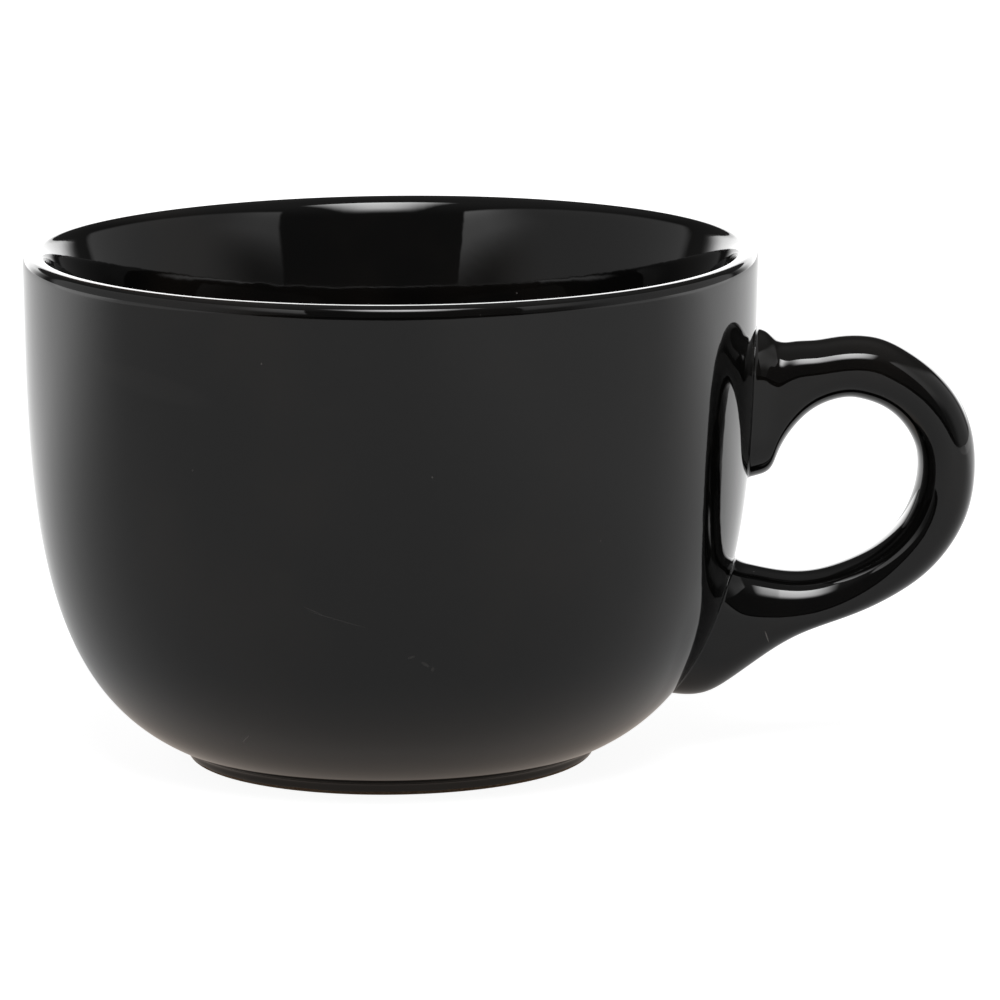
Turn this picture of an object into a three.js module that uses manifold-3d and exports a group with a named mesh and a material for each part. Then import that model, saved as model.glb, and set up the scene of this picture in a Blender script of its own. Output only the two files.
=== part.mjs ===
// A jumbo soup mug: a lathed stoneware body with a lofted loop handle luted on with slip.
// Millimetres, +Z up, +X towards the handle. The origin is under the middle of the whole mug.
import * as THREE from "three";
import { mergeVertices } from "three/addons/utils/BufferGeometryUtils.js";
import Module from "manifold-3d";

const wasm = await Module();
wasm.setup();

const degrees = THREE.MathUtils.degToRad;

// Body: overall size and wall
const MUG_HEIGHT = 85.7;
const RIM_RADIUS = 61;
const WALL = 7.2;
const FLOOR_THICKNESS = 5.2;

// Body: the bowl's outer curve leaves the foot at a slope and ends as a slightly tapered wall
const BOWL_SLOPE = degrees(21.4);
const BOWL_PULL = 28.3;
const WALL_TAPER = degrees(1.23);
const WALL_PULL = 33.9;
const FLOOR_BLEND_START = 0.2;

// Body: the lip's crest lies in from the rim, with a full round outside it and a flare inside it
const LIP_CREST = 2;
const LIP_DROP = 2.4;
const LIP_FULLNESS = 3;
const FLARE_DEPTH = 16;
const FLARE_JOIN = 0.6;
const JOIN_PULL = 0.33;

// Body: foot ring, with a shallow recess inside it
const FOOT_RADIUS = 34.1;
const FOOT_HEIGHT = 2.5;
const FOOT_RING_WIDTH = 5;
const FOOT_FILLET = 1.2;
const FOOT_EDGE_RADIUS = 1.35;
const FOOT_RECESS = 1.8;
const RECESS_DRAFT = 1.2;

// Handle: the loop hangs between its upper arm, set from the rim, and its lowest point, set from the table
const UPPER_ARM_DROP = 20.7;
const LOOP_LOW_HEIGHT = 30.3;
const LOOP_OFFSET = 14.6;
const LOOP_END_ANGLE = degrees(-44);
const GRIP_THICKNESS = 10;
const ARM_SWELL = 0.4;
const ARM_SWELL_POWER = 6;

// Handle: its section has flat faces and rounded ends, a little fuller than half an ellipse. An end's depth
// is a share of half the width, within a share of half the section's depth.
const HANDLE_WIDTH = 14;
const END_SHARE = 0.71;
const END_LIMIT = 0.97;
const END_FULLNESS = 2.3;

// Luting slip between a handle root and the wall, with the clearance on each side of it
const SLIP_THICKNESS = 0.6;
const SLIP_BEAD = 0.8;
const SLIP_CLEARANCE = 0.3;

// Facet counts
const TURN_SEGMENTS = 64;
const BOWL_STEPS = 22;
const INNER_STEPS = 9;
const FLARE_STEPS = 8;
const LIP_STEPS = 6;
const BLEND_STEPS = 6;
const ROUND_STEPS = 3;
const UPPER_LOOP_STEPS = 6;
const LOWER_LOOP_STEPS = 4;
const SPAN_STEPS = 3;
const END_STEPS = 10;
const HALVINGS = 40;

// Evenly spaced values from one to another, with both ends
function spaced(from, to, steps) {
  return Array.from({ length: steps + 1 }, (_, i) => THREE.MathUtils.lerp(from, to, i / steps));
}

// The bowl's outer curve, as radius (x) and height (y), from the top of the foot to the base of the lip
const filletRun = FOOT_FILLET * Math.sin(BOWL_SLOPE);
const filletRise = FOOT_FILLET * Math.cos(BOWL_SLOPE);
const filletCentre = new THREE.Vector2(FOOT_RADIUS + FOOT_FILLET, FOOT_HEIGHT - filletRise);
const footTop = new THREE.Vector2(filletCentre.x - filletRun, FOOT_HEIGHT);
const rimBase = new THREE.Vector2(RIM_RADIUS, MUG_HEIGHT - LIP_DROP);
const bowlCurve = new THREE.CubicBezierCurve(
  footTop,
  new THREE.Vector2(Math.cos(BOWL_SLOPE), Math.sin(BOWL_SLOPE)).multiplyScalar(BOWL_PULL).add(footTop),
  new THREE.Vector2(-Math.sin(WALL_TAPER), -Math.cos(WALL_TAPER)).multiplyScalar(WALL_PULL).add(rimBase),
  rimBase,
);

// The point at share t of the bowl's curve, moved out from the clay by a distance, or in if it is negative
function bowlPoint(t, distance) {
  const tangent = bowlCurve.getTangent(t);
  const outward = new THREE.Vector2(tangent.y, -tangent.x);
  return bowlCurve.getPoint(t).addScaledVector(outward, distance);
}

// The bowl's curve from one share to another, moved out from the clay by a distance
function bowlStretch(from, to, distance, steps) {
  return spaced(from, to, steps).map((share) => bowlPoint(share, distance));
}

// The outer radius of the bowl at a height, found by halving the curve
function wallRadius(height) {
  let low = 0;
  let high = 1;
  for (let i = 0; i < HALVINGS; i += 1) {
    const middle = (low + high) / 2;
    if (bowlCurve.getPoint(middle).y < height) low = middle;
    else high = middle;
  }
  return bowlCurve.getPoint(low).x;
}

// Points along an arc, without its first point
function arcPoints(centre, radius, from, to, steps) {
  const angles = spaced(from, to, steps).slice(1);
  return angles.map((angle) =>
    new THREE.Vector2(Math.cos(angle), Math.sin(angle)).multiplyScalar(radius).add(centre),
  );
}

// A number raised to the power that gives a superellipse of a fullness, with its sign kept
function filledOut(value, fullness) {
  return Math.sign(value) * Math.abs(value) ** (2 / fullness);
}

// A profile of radius and height turned about the Z axis
function turned(profile) {
  return new THREE.LatheGeometry(profile, TURN_SEGMENTS).rotateX(Math.PI / 2);
}

// A closed geometry as a solid that can be joined and cut
function solid(geometry) {
  const bare = new THREE.BufferGeometry();
  const loose = geometry.index ? geometry.toNonIndexed() : geometry;
  bare.setAttribute("position", loose.getAttribute("position"));
  const merged = mergeVertices(bare);
  const vertProperties = merged.getAttribute("position").array;
  const triVerts = new Uint32Array(merged.index.array);
  return new wasm.Manifold(new wasm.Mesh({ numProp: 3, vertProperties, triVerts }));
}

// A solid's surface as a geometry
function surface(body) {
  const { vertProperties, triVerts } = body.getMesh();
  const geometry = new THREE.BufferGeometry();
  geometry.setAttribute("position", new THREE.BufferAttribute(vertProperties, 3));
  geometry.setIndex(new THREE.BufferAttribute(triVerts, 1));
  return geometry;
}

// The inside of the bowl from the floor's blend up to the crest of the lip. The lower part keeps the wall's
// thickness, the flare is a parabola from the wall to the crest, and a curve joins the two.
function innerProfile(crest) {
  const bowl = bowlStretch(FLOOR_BLEND_START, FLARE_JOIN, -WALL, INNER_STEPS);
  const flareHeight = MUG_HEIGHT - FLARE_DEPTH;
  const flareEnd = new THREE.Vector2(wallRadius(flareHeight) - WALL, flareHeight);
  const flareTop = new THREE.Vector2((crest.x + flareEnd.x) / 2, MUG_HEIGHT);
  const flare = new THREE.QuadraticBezierCurve(flareEnd, flareTop, crest);
  const joinStart = bowl[INNER_STEPS];
  const pull = JOIN_PULL * joinStart.distanceTo(flareEnd);
  const join = new THREE.CubicBezierCurve(
    joinStart,
    bowlCurve.getTangent(FLARE_JOIN).multiplyScalar(pull).add(joinStart),
    flare.getTangent(0).multiplyScalar(-pull).add(flareEnd),
    flareEnd,
  );
  return [...bowl, ...join.getPoints(FLARE_STEPS).slice(1), ...flare.getPoints(FLARE_STEPS).slice(1)];
}

// The lip outside its crest: a quarter of a superellipse down to the rim's base, without its first point
function lipProfile(crest) {
  const angles = spaced(Math.PI / 2, 0, LIP_STEPS).slice(1);
  return angles.map((angle) => {
    const out = LIP_CREST * filledOut(Math.cos(angle), LIP_FULLNESS);
    const up = LIP_DROP * filledOut(Math.sin(angle), LIP_FULLNESS);
    return new THREE.Vector2(crest.x + out, rimBase.y + up);
  });
}

// The mug's body: floor, inner bowl, flared lip, outer bowl, foot ring and recess, from axis to axis
function bodyGeometry() {
  const crest = new THREE.Vector2(RIM_RADIUS - LIP_CREST, MUG_HEIGHT);
  const inner = innerProfile(crest);
  const floorHeight = FOOT_RECESS + FLOOR_THICKNESS;
  const innerSlope = bowlCurve.getTangent(FLOOR_BLEND_START);
  const run = (inner[0].y - floorHeight) / innerSlope.y;
  const corner = inner[0].clone().addScaledVector(innerSlope, -run);
  const flatEnd = new THREE.Vector2(corner.x - run, floorHeight);
  const blend = new THREE.QuadraticBezierCurve(flatEnd, corner, inner[0]).getPoints(BLEND_STEPS);
  const outer = bowlStretch(0, 1, 0, BOWL_STEPS).reverse();

  const fillet = arcPoints(filletCentre, FOOT_FILLET, Math.PI / 2 + BOWL_SLOPE, Math.PI, ROUND_STEPS);
  const edgeCentre = new THREE.Vector2(FOOT_RADIUS - FOOT_EDGE_RADIUS, FOOT_EDGE_RADIUS);
  const edge = arcPoints(edgeCentre, FOOT_EDGE_RADIUS, 0, -Math.PI / 2, ROUND_STEPS);
  const footInner = FOOT_RADIUS - FOOT_RING_WIDTH;

  const profile = [
    new THREE.Vector2(0, floorHeight),
    ...blend.slice(0, -1),
    ...inner,
    ...lipProfile(crest).slice(0, -1),
    ...outer,
    ...fillet,
    new THREE.Vector2(FOOT_RADIUS, FOOT_EDGE_RADIUS),
    ...edge,
    new THREE.Vector2(footInner, 0),
    new THREE.Vector2(footInner - RECESS_DRAFT, FOOT_RECESS),
    new THREE.Vector2(0, FOOT_RECESS),
  ];
  return turned(profile.reverse());
}

// All that lies within a distance of the bowl's outer face, filled to the axis
function bowlFilled(distance) {
  const outer = bowlStretch(0, 1, distance, BOWL_STEPS);
  const bottom = new THREE.Vector2(0, outer[0].y);
  const top = new THREE.Vector2(0, outer[BOWL_STEPS].y);
  return solid(turned([bottom, ...outer, top]));
}

// The handle's loop, in its own plane: x out from the mug's axis, y up
const upperArmHeight = MUG_HEIGHT - UPPER_ARM_DROP;
const loopRadius = (upperArmHeight - LOOP_LOW_HEIGHT) / 2;
const upperWall = wallRadius(upperArmHeight);
const loopCentre = new THREE.Vector2(upperWall + LOOP_OFFSET, LOOP_LOW_HEIGHT + loopRadius);
const handleReach = loopCentre.x + loopRadius + GRIP_THICKNESS / 2;

// Upper root: share of the way from the wall to the loop, rise above the arm's middle as a share of the
// grip's thickness, drop of the gusset below it as a share of the loop's radius, and share of the width
const UPPER_ROOT = [
  { along: -0.25, rise: 0.84, drop: 1.101, width: 1.37 },
  { along: 0.05, rise: 0.665, drop: 1.044, width: 1.19 },
  { along: 0.19, rise: 0.552, drop: 0.968, width: 1.05 },
  { along: 0.25, rise: 0.463, drop: 0.848, width: 1.02 },
  { along: 0.33, rise: 0.42, drop: 0.716, width: 1.01 },
  { along: 0.45, rise: 0.433, drop: 0.569, width: 1 },
  { along: 0.7, rise: 0.454, drop: 0.386, width: 1 },
];

// Lower root: each edge's height as a share of the loop's lowest height, its distance out from the bowl
// there as a share of the loop's offset, and share of the width
const LOWER_ROOT = [
  { outerHeight: 0.899, outerOut: 2.049, innerHeight: 1.147, innerOut: 1.592, width: 1.03 },
  { outerHeight: 0.806, outerOut: 1.749, innerHeight: 1.08, innerOut: 1.381, width: 1.06 },
  { outerHeight: 0.724, outerOut: 1.354, innerHeight: 1.013, innerOut: 1.005, width: 1.11 },
  { outerHeight: 0.659, outerOut: 1.06, innerHeight: 1.002, innerOut: 0.723, width: 1.16 },
  { outerHeight: 0.541, outerOut: 0.783, innerHeight: 1.02, innerOut: 0.437, width: 1.2 },
  { outerHeight: 0.414, outerOut: 0.591, innerHeight: 1.045, innerOut: 0.258, width: 1.24 },
  { outerHeight: 0.33, outerOut: 0.433, innerHeight: 1.084, innerOut: 0.13, width: 1.31 },
  { outerHeight: 0.337, outerOut: -0.103, innerHeight: 1.135, innerOut: -0.11, width: 1.43 },
];

// A station of the handle, from its outer and inner edge in the handle's plane. Both edges carry half of
// the width there as their y.
function station(outer, inner, widthShare) {
  const halfWidth = (widthShare * HANDLE_WIDTH) / 2;
  return {
    outer: new THREE.Vector3(outer.x, halfWidth, outer.y),
    inner: new THREE.Vector3(inner.x, halfWidth, inner.y),
  };
}

function upperStation({ along, rise, drop, width }) {
  const x = upperWall + along * LOOP_OFFSET;
  const outer = new THREE.Vector2(x, upperArmHeight + rise * GRIP_THICKNESS);
  const inner = new THREE.Vector2(x, upperArmHeight - drop * loopRadius);
  return station(outer, inner, width);
}

function loopStation(angle) {
  const half = (GRIP_THICKNESS + ARM_SWELL * Math.sin(angle) ** ARM_SWELL_POWER) / 2;
  const aim = new THREE.Vector2(Math.cos(angle), Math.sin(angle));
  const edge = (radius) => aim.clone().multiplyScalar(radius).add(loopCentre);
  return station(edge(loopRadius + half), edge(loopRadius - half), 1);
}

function lowerStation({ outerHeight, outerOut, innerHeight, innerOut, width }) {
  const edge = (heightShare, outShare) => {
    const height = heightShare * LOOP_LOW_HEIGHT;
    return new THREE.Vector2(wallRadius(height) + outShare * LOOP_OFFSET, height);
  };
  return station(edge(outerHeight, outerOut), edge(innerHeight, innerOut), width);
}

const upperStations = UPPER_ROOT.map(upperStation);
const lowerStations = LOWER_ROOT.map(lowerStation);
const upperAngles = spaced(Math.PI / 2, 0, UPPER_LOOP_STEPS);
const lowerAngles = spaced(0, LOOP_END_ANGLE, LOWER_LOOP_STEPS).slice(1);
const loopStations = [...upperAngles, ...lowerAngles].map(loopStation);

// A section of the handle across its width: flat faces with rounded ends, grown by a margin on all sides
function sectionPoints(outer, inner, margin) {
  const depthSpan = outer.clone().sub(inner).setY(0);
  const centre = outer.clone().add(inner).divideScalar(2).setY(0);
  const outward = depthSpan.clone().normalize();
  const halfDepth = depthSpan.length() / 2 + margin;
  const halfWidth = (outer.y + inner.y) / 2 + margin;
  const endDepth = Math.min(END_SHARE * halfWidth, END_LIMIT * halfDepth);
  return [1, -1].flatMap((side, end) =>
    spaced(end - 0.5, end + 0.5, END_STEPS).map((halfTurns) => {
      const angle = halfTurns * Math.PI;
      const round = endDepth * filledOut(Math.cos(angle), END_FULLNESS);
      const across = halfWidth * filledOut(Math.sin(angle), END_FULLNESS);
      const point = centre.clone().addScaledVector(outward, side * (halfDepth - endDepth) + round);
      return point.setY(across);
    }),
  );
}

// A solid lofted through stations, each edge following one smooth curve, with flat ends
function loft(stations, margin) {
  const outerRail = new THREE.CatmullRomCurve3(stations.map((station) => station.outer));
  const innerRail = new THREE.CatmullRomCurve3(stations.map((station) => station.inner));
  const spans = (stations.length - 1) * SPAN_STEPS;
  const rings = spaced(0, 1, spans).map((share) =>
    sectionPoints(outerRail.getPoint(share), innerRail.getPoint(share), margin),
  );
  const count = rings[0].length;
  const triangles = [];
  for (let ring = 0; ring < spans; ring += 1) {
    for (let i = 0; i < count; i += 1) {
      const a = ring * count + i;
      const b = ring * count + ((i + 1) % count);
      triangles.push(a, a + count, b, b, a + count, b + count);
    }
  }
  for (let i = 1; i < count - 1; i += 1) {
    const last = spans * count;
    triangles.push(0, i, i + 1);
    triangles.push(last, last + i + 1, last + i);
  }
  const geometry = new THREE.BufferGeometry().setFromPoints(rings.flat());
  geometry.setIndex(triangles);
  return solid(geometry);
}

// The handle, cut back from the wall to leave room for the slip
function handleGeometry() {
  const whole = loft([...upperStations, ...loopStations, ...lowerStations], 0);
  const seat = bowlFilled(SLIP_CLEARANCE + SLIP_THICKNESS + SLIP_CLEARANCE);
  return surface(whole.subtract(seat));
}

// The slip under one root: a skin that follows the wall and stands proud of the root as a bead
function slipGeometry(rootStations) {
  const skin = bowlFilled(SLIP_CLEARANCE + SLIP_THICKNESS).subtract(bowlFilled(SLIP_CLEARANCE));
  return surface(loft(rootStations, SLIP_BEAD).intersect(skin));
}

function piece(name, geometry, finish) {
  const mesh = new THREE.Mesh(geometry, new THREE.MeshStandardMaterial(finish));
  mesh.name = name;
  return mesh;
}

const BLACK_GLAZE = { color: 0x0b0b0b, roughness: 0.06, metalness: 0 };
const SLIP_GLAZE = { color: 0x151413, roughness: 0.12, metalness: 0 };

const mug = new THREE.Group();
mug.position.x = (RIM_RADIUS - handleReach) / 2;
mug.add(
  piece("mug_body", bodyGeometry(), BLACK_GLAZE),
  piece("handle", handleGeometry(), BLACK_GLAZE),
  piece("upper_slip_joint", slipGeometry([...upperStations, loopStations[0]]), SLIP_GLAZE),
  piece("lower_slip_joint", slipGeometry([loopStations.at(-1), ...lowerStations]), SLIP_GLAZE),
);

export default mug;
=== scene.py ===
"""Visual model of a black-glazed stoneware soup mug with a loop handle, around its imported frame.

Sizes are in millimetres from the mug's own axis and the table it stands on, with x towards the
handle, y away from the camera and z up. They turn to metres, in the frame's own place, when a
mesh is made.
"""

from __future__ import annotations

import logging
import math
from dataclasses import dataclass, field
from enum import Enum

import bpy
import numpy as np
from mathutils import Matrix, Vector

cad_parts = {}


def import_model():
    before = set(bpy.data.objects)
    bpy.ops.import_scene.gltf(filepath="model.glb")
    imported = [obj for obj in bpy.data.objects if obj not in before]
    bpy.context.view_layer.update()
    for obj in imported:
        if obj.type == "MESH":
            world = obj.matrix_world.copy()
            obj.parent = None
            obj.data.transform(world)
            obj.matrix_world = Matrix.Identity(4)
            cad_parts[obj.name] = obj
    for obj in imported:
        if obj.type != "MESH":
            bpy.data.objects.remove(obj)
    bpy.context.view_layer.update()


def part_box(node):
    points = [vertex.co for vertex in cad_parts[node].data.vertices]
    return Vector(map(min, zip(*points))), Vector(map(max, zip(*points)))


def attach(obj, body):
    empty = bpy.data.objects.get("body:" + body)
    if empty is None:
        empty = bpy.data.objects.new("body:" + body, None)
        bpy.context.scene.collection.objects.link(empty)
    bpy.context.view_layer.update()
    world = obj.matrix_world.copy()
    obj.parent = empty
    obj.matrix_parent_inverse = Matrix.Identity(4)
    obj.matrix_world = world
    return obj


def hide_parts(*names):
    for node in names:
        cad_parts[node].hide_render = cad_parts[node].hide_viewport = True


log = logging.getLogger("mug")

Points = np.ndarray
Socket = bpy.types.NodeSocket
Pair = tuple[float, float]
Triple = tuple[float, float, float]
Colour = Triple
Inputs = dict[int | str, object]

MM = 0.001
BODY = "root"
WHITE: Colour = (1.0, 1.0, 1.0)


class Slot(Enum):
    """Material slots of the record."""

    GLAZE = "black_glaze"
    SLIP = "slip_glaze"


class Root(Enum):
    """The two ends at which the handle is luted to the wall."""

    UPPER = "upper"
    LOWER = "lower"


@dataclass(frozen=True)
class Placement:
    """Where the mug stands in the frame, and how the fired ware leans towards its handle.

    The lean is a shear: x grows by a fixed share of the height above the still height.
    """

    axis_x: float
    lean: float = 0.0084
    still_height: float = 48.0

    def to_frame(self, points: Points) -> Points:
        """Leans points, moves them to the mug's axis in the frame and makes them metres.

        Args:
            points: Array of points in millimetres, its last axis x, y, z.

        Returns:
            The points in metres, in the frame.
        """
        moved = np.array(points, dtype=float)
        moved[..., 0] += self.lean * (moved[..., 2] - self.still_height) + self.axis_x
        return moved * MM


def spline(knots: Points, values: Points, at: Points) -> Points:
    """Natural cubic spline: piecewise cubics with matching slope and curvature at the knots.

    Args:
        knots: Rising parameter of each row of values.
        values: One row of numbers for each knot.
        at: Parameters to evaluate, of any shape.

    Returns:
        Values at those parameters, of shape at.shape plus the row length.
    """
    step = np.diff(knots)
    count = len(knots)
    system = np.eye(count)
    right = np.zeros_like(values)
    inside = np.arange(1, count - 1)
    system[inside, inside - 1] = step[:-1]
    system[inside, inside] = 2 * (step[:-1] + step[1:])
    system[inside, inside + 1] = step[1:]
    slope = np.diff(values, axis=0) / step[:, None]
    right[inside] = 6 * np.diff(slope, axis=0)
    bend = np.linalg.solve(system, right)
    span = np.clip(np.searchsorted(knots, at, side="right") - 1, 0, count - 2)
    width = step[span][..., None]
    after = ((at - knots[span])[..., None]) / width
    before = 1 - after
    cubic = (before**3 - before) * bend[span] + (after**3 - after) * bend[span + 1]
    return before * values[span] + after * values[span + 1] + cubic * width**2 / 6


def unit(vectors: Points) -> Points:
    """Vectors divided by their length, along the last axis."""
    return vectors / np.linalg.norm(vectors, axis=-1, keepdims=True)


def arc(centre: Pair, radius: float, start: float, end: float, steps: int) -> Points:
    """Points on a circle arc: centre plus radius times cosine and sine of an even run of angles.

    Args:
        centre: Middle of the arc, as radius and height.
        radius: Radius of the arc.
        start: First angle, in radians.
        end: Last angle, in radians.
        steps: Number of steps between them.

    Returns:
        Array of steps + 1 points.
    """
    angle = np.linspace(start, end, steps + 1)
    return np.asarray(centre) + radius * np.stack([np.cos(angle), np.sin(angle)], axis=1)


def bezier(controls: list[Points], share: Points) -> Points:
    """Bezier curve of any degree, by repeated mixing of neighbouring control points.

    Args:
        controls: Control points, first to last.
        share: Shares of the way along the curve.

    Returns:
        One point for each share.
    """
    share = np.asarray(share, dtype=float)[..., None]
    points = [np.asarray(control, dtype=float) for control in controls]
    while len(points) > 1:
        points = [(1 - share) * before + share * after for before, after in zip(points, points[1:])]
    return points[0]


def filled_out(value: Points, fullness: float) -> Points:
    """Sines or cosines raised to 2 / fullness, signs kept: they then trace a superellipse."""
    return np.sign(value) * np.abs(value) ** (2 / fullness)


@dataclass(frozen=True)
class BowlProfile:
    """The mug's turned profile, as radius and height.

    The outer curve is a cubic Bezier curve that leaves the top of the foot at a slope and ends as a
    nearly upright wall. Inside its crest the lip flares into the bowl along a power curve.
    """

    height: float = 85.7
    rim_radius: float = 61.0
    wall: float = 7.2
    bowl_slope: float = math.radians(21.4)
    bowl_pull: float = 28.3
    wall_taper: float = math.radians(1.23)
    wall_pull: float = 33.9
    lip_crest: float = 2.0
    lip_drop: float = 2.4
    lip_fullness: float = 3.0
    flare_depth: float = 16.0
    flare_power: float = 2.4
    flare_join: float = 0.6
    join_pull: float = 0.33
    floor_height: float = 7.0
    floor_blend: float = 0.2
    foot_radius: float = 34.1
    foot_height: float = 2.3
    foot_ring_width: float = 5.0
    foot_fillet: float = 0.9
    bowl_start: float = 34.86
    foot_edge: float = 1.35
    recess: float = 1.8
    recess_draft: float = 1.2
    recess_round: float = 0.6
    recess_points: int = 14
    floor_points: int = 12
    bowl_points: int = 40
    blend_points: int = 30
    flare_points: int = 48
    face_points: int = 110
    lip_points: int = 29
    round_steps: int = 6
    edge_steps: int = 8
    fillet_steps: int = 10
    wall_samples: int = 1200

    def outer_curve(self, share: Points) -> tuple[Points, Points]:
        """Outer face of the bowl: a cubic Bezier curve from the foot to the base of the lip.

        Args:
            share: Shares of the way along the curve.

        Returns:
            Points of radius and height, and unit tangents towards the lip.
        """
        start = np.array([self.bowl_start, self.foot_height])
        end = np.array([self.rim_radius, self.height - self.lip_drop])
        outward = np.array([math.cos(self.bowl_slope), math.sin(self.bowl_slope)])
        upward = np.array([math.sin(self.wall_taper), math.cos(self.wall_taper)])
        first = start + self.bowl_pull * outward
        second = end - self.wall_pull * upward
        tangent = bezier([first - start, second - first, end - second], share)
        return bezier([start, first, second, end], share), unit(tangent)

    def wall_at(self, heights: Points) -> tuple[Points, Points]:
        """Outer radius of the wall at given heights, and the wall's tilt from upright there.

        Args:
            heights: Heights above the table.

        Returns:
            Radii, and tilts in radians, positive where the wall widens upwards.
        """
        points, tangent = self.outer_curve(np.linspace(0, 1, self.wall_samples))
        radius, height = points.T
        tilt = np.arctan2(tangent[:, 0], tangent[:, 1])
        return np.interp(heights, height, radius), np.interp(heights, height, tilt)

    def wall_distance(self, points: Points) -> Points:
        """Distance out from the wall: the gap in radius times the cosine of the wall's tilt."""
        radius, tilt = self.wall_at(points[..., 2])
        return (np.hypot(points[..., 0], points[..., 1]) - radius) * np.cos(tilt)

    def wall_normal(self, points: Points) -> Points:
        """Outward normal of the wall beside each point: its tilt, turned about the axis.

        Args:
            points: Points near the wall.

        Returns:
            One unit vector for each point.
        """
        _, tilt = self.wall_at(points[..., 2])
        turn = np.arctan2(points[..., 1], points[..., 0])
        level = np.cos(tilt)
        return np.stack([level * np.cos(turn), level * np.sin(turn), -np.sin(tilt)], axis=-1)

    def underside(self) -> Points:
        """Recess, foot ring and fillet, from the axis out to the foot of the bowl.

        Returns:
            Points of radius and height.
        """
        ring_inner = self.foot_radius - self.foot_ring_width
        up, down = math.pi / 2, 1.5 * math.pi
        turn = up - math.atan2(self.recess_draft, self.recess)
        bend, edge, fillet = self.recess_round, self.foot_edge, self.foot_fillet
        reach = bend * math.tan(turn / 2)
        flat_end = ring_inner - self.recess_draft - reach
        flat = np.linspace([0, self.recess], [flat_end, self.recess], self.recess_points)
        ceiling = arc((flat_end, self.recess - bend), bend, up, up - turn, self.round_steps)
        inner_edge = arc((ring_inner + reach, bend), bend, down - turn, down, self.round_steps)
        outer_edge = arc((self.foot_radius - edge, edge), edge, -up, 0, self.edge_steps)
        straight = self.bowl_start - self.foot_radius - fillet * (1 - math.sin(self.bowl_slope))
        fillet_top = self.foot_height - straight * math.tan(self.bowl_slope)
        centre = (self.foot_radius + fillet, fillet_top - fillet * math.cos(self.bowl_slope))
        corner = arc(centre, fillet, math.pi, up + self.bowl_slope, self.fillet_steps)
        return np.concatenate([flat, ceiling[1:], inner_edge, outer_edge, corner])

    def inside(self) -> Points:
        """Inner face, from the axis up to the crest of the lip.

        A parabola rounds the floor into the bowl, which keeps the wall's thickness inside the outer
        curve. A cubic curve leads from there to the flare, whose depth is a power of its distance
        from the crest.

        Returns:
            Points of radius and height.
        """
        bowl_share = np.linspace(self.floor_blend, self.flare_join, self.bowl_points)
        blend_share = np.linspace(0, 1, self.blend_points)
        outer, tangent = self.outer_curve(bowl_share)
        bowl = outer - self.wall * np.stack([tangent[:, 1], -tangent[:, 0]], axis=1)
        run = (bowl[0, 1] - self.floor_height) / tangent[0, 1]
        corner = bowl[0] - run * tangent[0]
        flat_end = corner - [run, 0]
        floor = np.linspace([0, self.floor_height], flat_end, self.floor_points)
        blend = bezier([flat_end, corner, bowl[0]], blend_share)

        crest = np.array([self.rim_radius - self.lip_crest, self.height])
        flare_height = self.height - self.flare_depth
        flare_end = np.array([self.wall_at(flare_height)[0] - self.wall, flare_height])
        across = crest[0] - flare_end[0]
        share = np.linspace(1, 0, self.flare_points)
        drop = np.stack([across * share, self.flare_depth * share**self.flare_power], axis=1)
        pull = self.join_pull * np.linalg.norm(flare_end - bowl[-1])
        upward = unit(np.array([across, self.flare_power * self.flare_depth]))
        lead = [bowl[-1] + pull * tangent[-1], flare_end - pull * upward]
        join = bezier([bowl[-1], *lead, flare_end], blend_share)
        return np.concatenate([floor[:-1], blend[:-1], bowl[:-1], join[:-1], crest - drop])

    def outside(self) -> Points:
        """Outer face and lip, from the foot to the crest: the lip is a quarter superellipse.

        Returns:
            Points of radius and height.
        """
        face, _ = self.outer_curve(np.linspace(0, 1, self.face_points))
        turn = np.linspace(0, math.pi / 2, self.lip_points)[1:]
        out = self.lip_crest * filled_out(np.cos(turn), self.lip_fullness)
        up = self.lip_drop * filled_out(np.sin(turn), self.lip_fullness)
        base = np.array([self.rim_radius - self.lip_crest, self.height - self.lip_drop])
        return np.concatenate([face, base + np.stack([out, up], axis=1)])

    def whole(self) -> Points:
        """The whole profile, from the axis underneath round to the axis inside."""
        return np.concatenate([self.underside(), self.outside(), self.inside()[-2::-1]])


def grid_faces(rows: int, columns: int, closed_rows: bool) -> Points:
    """Quads of a grid whose columns close on themselves.

    Args:
        rows: Number of rows of points.
        columns: Number of points in a row.
        closed_rows: Whether the last row joins the first.

    Returns:
        Array of four point numbers for each quad.
    """
    here = np.arange(rows * columns).reshape(rows, columns)
    beside = np.roll(here, -1, axis=1)
    corners = [here, beside, np.roll(beside, -1, axis=0), np.roll(here, -1, axis=0)]
    quads = np.stack(corners, axis=-1)
    return (quads if closed_rows else quads[:-1]).reshape(-1, 4)


def new_object(name: str, data: bpy.types.ID) -> bpy.types.Object:
    """Makes an object of a mesh, camera or light, linked to the scene.

    Args:
        name: Its name.
        data: The mesh, camera or light.

    Returns:
        The object.
    """
    made = bpy.data.objects.new(name, data)
    bpy.context.scene.collection.objects.link(made)
    return made


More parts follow.
